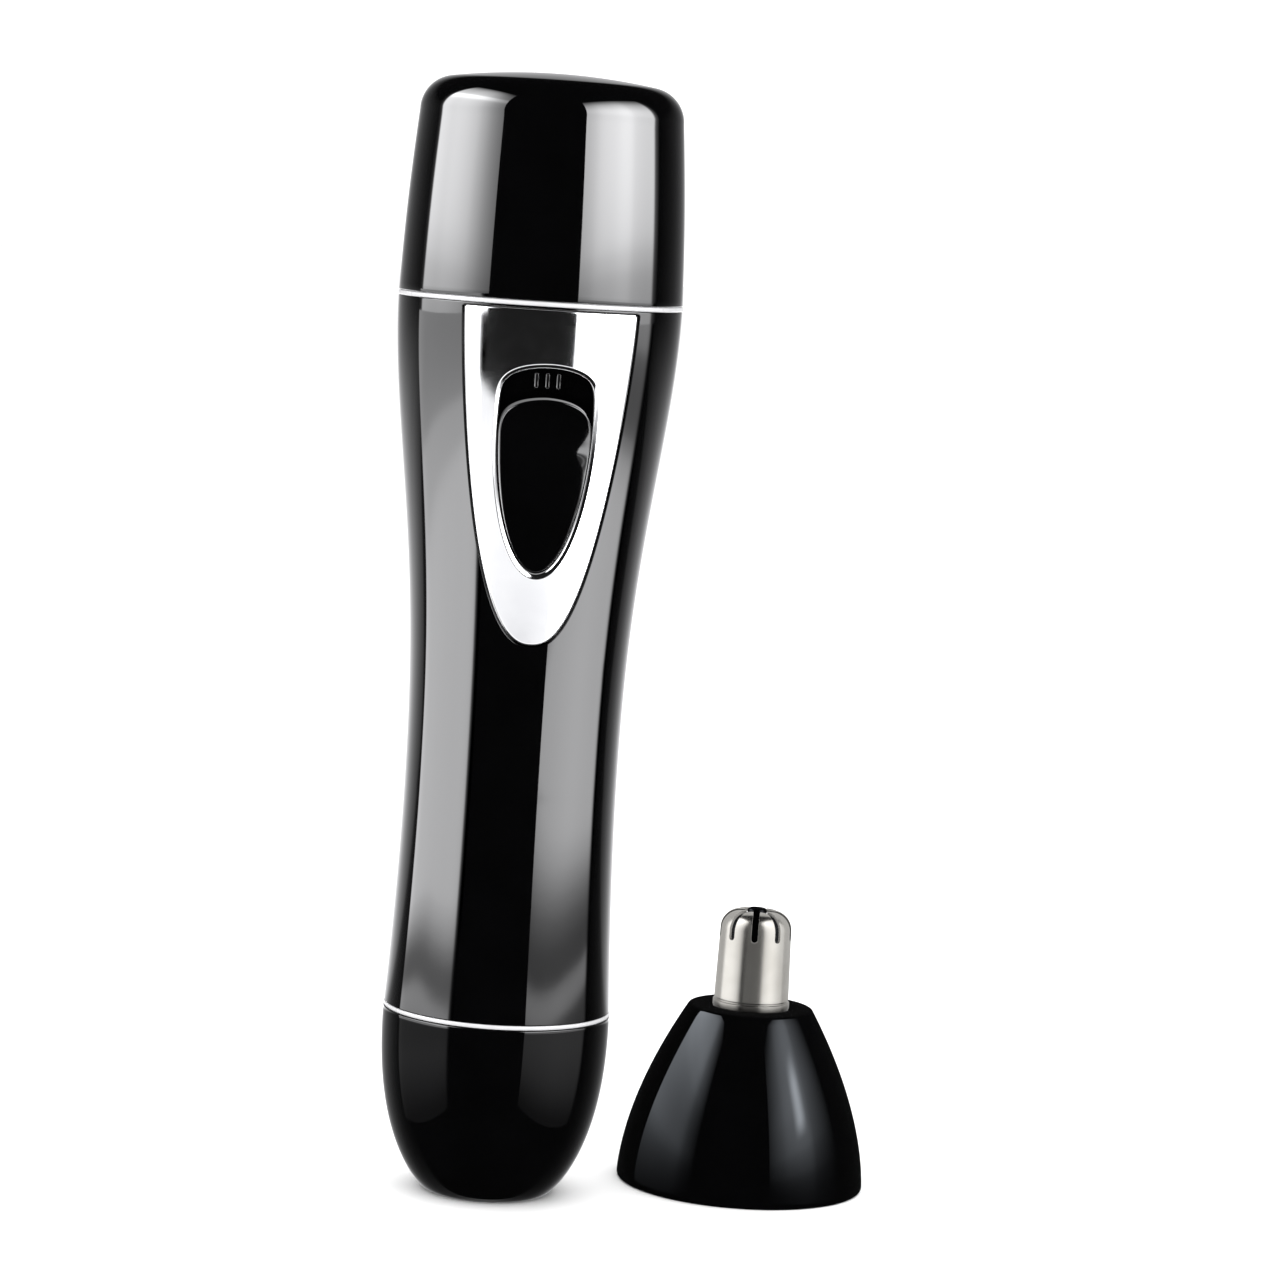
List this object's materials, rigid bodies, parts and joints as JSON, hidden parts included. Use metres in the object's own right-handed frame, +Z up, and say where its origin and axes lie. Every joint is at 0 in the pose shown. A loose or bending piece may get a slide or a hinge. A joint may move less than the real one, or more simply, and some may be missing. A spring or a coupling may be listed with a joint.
{
  "type": "nose hair trimmer",
  "caption": "Hourglass battery handle with travel cap, chrome front plate and slide switch, and a rotary nose trimmer head that pushes onto its neck.",
  "frame": {"origin": "centre of the handle's flat foot, on the surface that it stands on", "axes": "+Z up along the handle towards the travel cap; -Y out of the front plate and the slide switch; +X towards the trimmer head that stands beside the handle"},
  "size_m": [0.0677, 0.0427, 0.141],
  "materials": {
    "gloss_black": "high-gloss moulded ABS, nearly mirror smooth",
    "button_black": "high-gloss moulded ABS slide button",
    "inner_black": "fine-grained matt black ABS",
    "rubber_black": "soft black rubber",
    "chrome_plate": "bright chrome-plated ABS",
    "trim_silver": "bright silver-plated trim",
    "cutter_steel": "satin stainless steel",
    "nickel": "nickel-plated contact plate",
    "spring_steel": "plated spring wire",
    "cell_steel": "nickel-plated battery can",
    "cell_sleeve": "plain shrink sleeve with no print",
    "sintered_bronze": "oil-soaked sintered bronze",
    "natural_plastic": "natural white acetal",
    "screw_steel": "zinc-plated screws",
    "contact_brass": "stamped brass strip",
    "motor_steel": "zinc-plated drawn steel can",
    "magnet_grey": "sintered ferrite",
    "winding_copper": "copper windings on steel plates",
    "shaft_steel": "ground steel"
  },
  "bodies": {
    "battery_cap": {"bottom_cap": "gloss_black", "cap_insert": "inner_black", "seal_ring": "rubber_black", "spring_plate": "nickel", "battery_spring": "spring_steel"},
    "battery": {"battery_cell": "cell_steel", "battery_sleeve": "cell_sleeve"},
    "handle": {"body_shell": "gloss_black", "front_plate": "chrome_plate", "switch_well": "inner_black", "lower_trim_ring": "trim_silver", "upper_trim_ring": "trim_silver", "neck_deck": "inner_black", "neck_bush": "sintered_bronze", "chassis": "natural_plastic", "chassis_screws": "screw_steel", "positive_contact": "contact_brass", "negative_strip": "contact_brass", "switch_contacts": "contact_brass", "motor_can": "motor_steel", "motor_magnets": "magnet_grey", "motor_end_cap": "natural_plastic", "motor_terminals": "contact_brass", "motor_cushion": "rubber_black"},
    "cap": {"travel_cap": "gloss_black", "cap_grip_ring": "rubber_black"},
    "switch": {"switch_button": "button_black", "switch_carriage": "natural_plastic", "switch_wiper": "contact_brass"},
    "drive": {"motor_shaft": "shaft_steel", "motor_rotor": "winding_copper", "shaft_coupler": "natural_plastic", "drive_spindle": "shaft_steel"},
    "head": {"head_shell": "gloss_black", "head_socket": "inner_black", "guard_tube": "cutter_steel", "tube_retainer": "inner_black", "cutter_bush": "sintered_bronze", "cutter_spring": "spring_steel"},
    "float": {"thrust_washer": "natural_plastic"},
    "cutter": {"cutter_blade": "cutter_steel", "cutter_hub": "inner_black", "cutter_shaft": "shaft_steel", "drive_dog": "natural_plastic"}
  },
  "joints": [
    {"name": "handle_pull", "type": "slide", "parent": "battery_cap", "child": "handle", "axis": [0, 0, 1], "range_m": [0, 0.084]},
    {"name": "battery_lift", "type": "slide", "parent": "battery_cap", "child": "battery", "axis": [0, 0, 1], "range_m": [0, 0.028]},
    {"name": "cap_pull", "type": "slide", "parent": "handle", "child": "cap", "axis": [0, 0, 1], "range_m": [0, 0.04]},
    {"name": "switch_slide", "type": "slide", "parent": "handle", "child": "switch", "axis": [0, -0.1084, 0.9941], "range_m": [0, 0.0035]},
    {"name": "motor_spin", "type": "hinge", "parent": "handle", "child": "drive", "pos_m": [0, 0, 0.1], "axis": [0, 0, 1], "continuous": true},
    {"name": "head_lift", "type": "slide", "parent": "battery_cap", "child": "head", "axis": [0, 0, 1], "range_m": [0, 0.05]},
    {"name": "cutter_float", "type": "slide", "parent": "head", "child": "float", "axis": [0, 0, -1], "range_m": [0, 0.0006], "stiffness_N_per_m": 400, "springref_m": -0.002, "deforming": ["cutter_spring"]},
    {"name": "cutter_spin", "type": "hinge", "parent": "float", "child": "cutter", "pos_m": [0.034, 0.009, 0.02], "axis": [0, 0, 1], "continuous": true}
  ],
  "couplings": [
    {"joint": "battery_lift", "follows": "handle_pull", "ratio": 0.33333}
  ]
}
